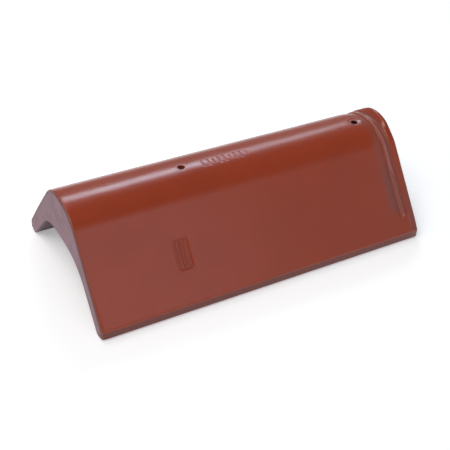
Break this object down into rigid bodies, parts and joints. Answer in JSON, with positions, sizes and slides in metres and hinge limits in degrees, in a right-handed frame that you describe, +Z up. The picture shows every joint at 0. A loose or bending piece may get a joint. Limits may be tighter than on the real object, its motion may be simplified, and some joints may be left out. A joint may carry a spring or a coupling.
{
  "type": "concrete ridge tile",
  "caption": "Angled concrete roof ridge tile with a rounded ridge, two sloping sides, a web across one end and a groove, a rib and a raised band around the other.",
  "frame": {"origin": "under the middle of the ridge, level with the undersides of the two feet", "axes": "+X along the ridge from the plain end to the banded end, +Z up, +Y across the ridge, with the pressed panel on the -Y side"},
  "size_m": [0.42, 0.2204, 0.1208],
  "materials": {
    "coated_concrete": "oxide red acrylic coat with a satin gloss over cast concrete, bare pinkish grey at the cut end"
  },
  "bodies": {
    "root": {"ridge_tile": "coated_concrete"}
  },
  "joints": []
}
